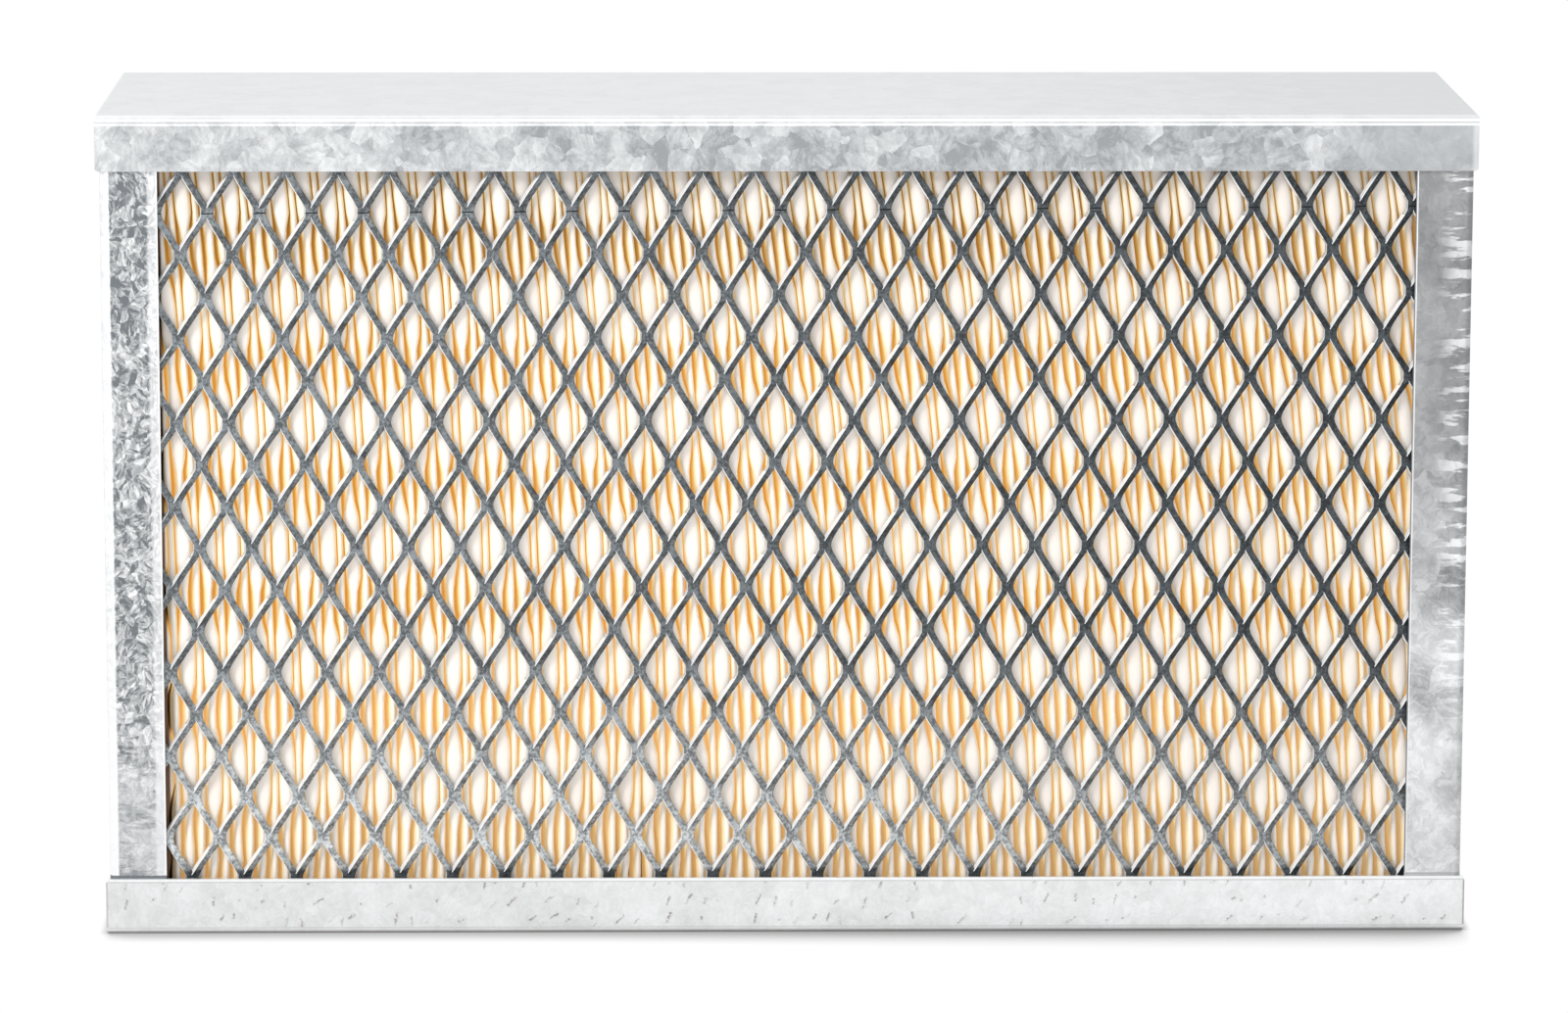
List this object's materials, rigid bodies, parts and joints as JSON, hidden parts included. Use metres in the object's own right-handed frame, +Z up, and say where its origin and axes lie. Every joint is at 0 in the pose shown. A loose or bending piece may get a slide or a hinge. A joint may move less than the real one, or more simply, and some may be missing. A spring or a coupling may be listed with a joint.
{
  "type": "engine air filter",
  "caption": "Rectangular panel air filter: pleated paper between two expanded metal screens in a folded galvanised sheet frame with a foam gasket on the outlet face.",
  "frame": {"origin": "centre of the bounding box's bottom face, where the lower cap stands", "axes": "+Z up, +X to the right of someone who faces the inlet screen, +Y from the inlet face to the gasket"},
  "size_m": [0.333, 0.095, 0.202],
  "materials": {
    "frame_steel": "galvanised sheet, satin with soft spangle",
    "screen_steel": "raw expanded metal, satin with bright sheared edges",
    "filter_paper": "matt resin-treated paper, cream with orange light in the folds",
    "sealant": "cast sealant, satin",
    "gasket_foam": "closed-cell foam rubber, matt"
  },
  "bodies": {
    "root": {"top_cap": "frame_steel", "bottom_cap": "frame_steel", "left_side_channel": "frame_steel", "right_side_channel": "frame_steel", "front_screen": "screen_steel", "rear_screen": "screen_steel", "pleated_media": "filter_paper", "top_sealant_bed": "sealant", "bottom_sealant_bed": "sealant", "left_glue_strip": "sealant", "right_glue_strip": "sealant", "gasket_top": "gasket_foam", "gasket_bottom": "gasket_foam", "gasket_left": "gasket_foam", "gasket_right": "gasket_foam"}
  },
  "joints": []
}
